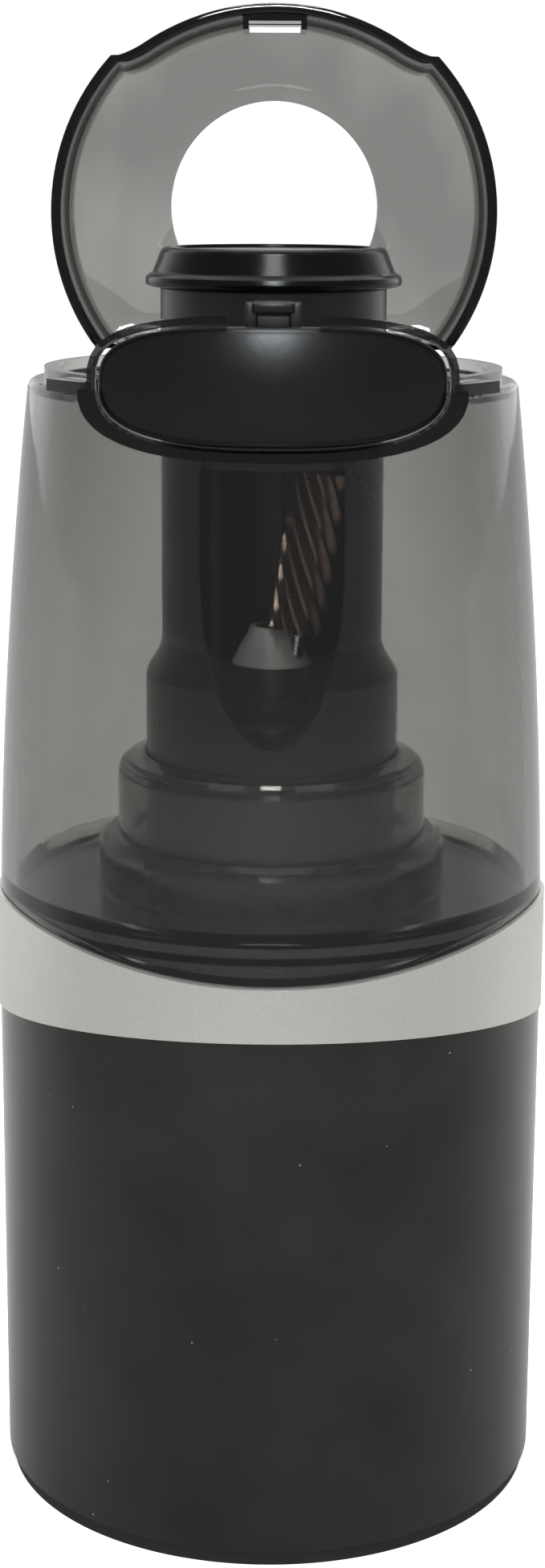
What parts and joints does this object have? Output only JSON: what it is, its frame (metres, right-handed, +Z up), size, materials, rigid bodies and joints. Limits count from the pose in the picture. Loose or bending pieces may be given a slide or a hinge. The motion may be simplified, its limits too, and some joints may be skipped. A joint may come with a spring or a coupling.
{
  "type": "pencil sharpener",
  "caption": "Battery pencil sharpener: round base, lift-off smoke-clear shavings bin around a cutter column, hinged open lid with hole and a rocking front latch plate.",
  "frame": {"origin": "centre of the foot ring's underside, on the column's axis", "axes": "+Z up along the column's axis, -Y towards the front plate, +X to the right seen from the front"},
  "size_m": [0.0806, 0.0806, 0.2154],
  "materials": {
    "black_plastic": "satin",
    "silver_paint": "satin",
    "rubber_foot": "matte",
    "dark_frame_plastic": "satin",
    "smoke_clear": "polished",
    "cell_jacket": "satin",
    "steel": "satin",
    "spring_steel": "polished",
    "cutter_steel": "satin",
    "brass": "satin",
    "acetal": "satin",
    "magnet": "matte",
    "copper_winding": "satin",
    "lead_red": "satin",
    "lead_black": "satin"
  },
  "bodies": {
    "base": {"base_shell": "black_plastic", "silver_band": "silver_paint", "foot_ring": "rubber_foot", "base_plate": "black_plastic", "base_screws": "steel", "battery_holder": "dark_frame_plastic", "aa_cells": "cell_jacket", "top_contacts": "spring_steel", "motor_can": "steel", "motor_magnets": "magnet", "motor_endcap": "acetal", "gear_plate_lower": "dark_frame_plastic", "gear_plate_upper": "dark_frame_plastic", "gear_screws": "steel", "idler_axle": "steel", "shaft_bushing": "brass", "deck": "black_plastic", "deck_screws": "steel", "column_housing": "black_plastic", "column_screws": "steel", "column_bushing": "brass", "ring_gear": "dark_frame_plastic", "start_switch": "dark_frame_plastic", "interlock_switch": "dark_frame_plastic", "lead_red": "lead_red", "lead_black": "lead_black", "return_spring": "spring_steel"},
    "battery_door": {"battery_door": "black_plastic", "door_contacts": "spring_steel", "battery_springs": "spring_steel"},
    "bin": {"shavings_bin": "smoke_clear", "latch_bezel": "smoke_clear", "hinge_pin": "steel", "latch_spring": "spring_steel", "latch_pin": "steel"},
    "latch": {"latch_plate": "black_plastic"},
    "lid": {"lid": "smoke_clear"},
    "guide_cap": {"guide_cap": "black_plastic", "pencil_guide": "black_plastic"},
    "spindle": {"thrust_cup": "acetal"},
    "carrier": {"drive_shaft": "steel", "output_gear": "acetal", "cutter_carrier": "dark_frame_plastic", "cutter_axle": "steel", "axle_clip": "steel"},
    "cutter": {"helical_cutter": "cutter_steel", "cutter_pinion": "brass"},
    "idler": {"compound_gear": "acetal"},
    "rotor": {"motor_shaft": "steel", "motor_pinion": "brass", "motor_armature": "copper_winding"}
  },
  "joints": [
    {"name": "bin_lift", "type": "slide", "parent": "base", "child": "bin", "axis": [0, 0, 1], "range_m": [0, 0.1]},
    {"name": "lid_hinge", "type": "hinge", "parent": "bin", "child": "lid", "pos_m": [0, 0.0207, 0.1655], "axis": [1, 0, 0], "range_deg": [0, 90]},
    {"name": "latch_rock", "type": "hinge", "parent": "bin", "child": "latch", "pos_m": [0, -0.0339, 0.1647], "axis": [1, 0, 0], "range_deg": [0, 4.5], "stiffness_Nm_per_rad": 0.005, "springref_deg": -11.46, "deforming": ["latch_spring"]},
    {"name": "guide_cap_turn", "type": "hinge", "parent": "base", "child": "guide_cap", "pos_m": [0, 0, 0.17], "axis": [0, 0, 1], "range_deg": [0, 30]},
    {"name": "battery_door_turn", "type": "hinge", "parent": "base", "child": "battery_door", "pos_m": [0, 0, 0.003], "axis": [0, 0, 1], "range_deg": [0, 25]},
    {"name": "spindle_press", "type": "slide", "parent": "base", "child": "spindle", "axis": [0, 0, 1], "range_m": [-0.0012, 0], "stiffness_N_per_m": 1000, "springref_m": 0.003, "deforming": ["return_spring"]},
    {"name": "carrier_spin", "type": "hinge", "parent": "spindle", "child": "carrier", "pos_m": [0, 0, 0.12], "axis": [0, 0, 1], "continuous": true},
    {"name": "cutter_spin", "type": "hinge", "parent": "carrier", "child": "cutter", "pos_m": [0.0039, -0.00327, 0.128], "axis": [0.133, -0.1116, 0.9848], "continuous": true},
    {"name": "idler_spin", "type": "hinge", "parent": "base", "child": "idler", "pos_m": [0.00976, 0.00976, 0.068], "axis": [0, 0, 1], "continuous": true},
    {"name": "motor_spin", "type": "hinge", "parent": "base", "child": "rotor", "pos_m": [0, 0, 0.04], "axis": [0, 0, 1], "continuous": true}
  ],
  "couplings": [
    {"joint": "carrier_spin", "follows": "motor_spin", "ratio": 0.098039},
    {"joint": "idler_spin", "follows": "motor_spin", "ratio": -0.27778},
    {"joint": "cutter_spin", "follows": "motor_spin", "ratio": -0.35948}
  ]
}
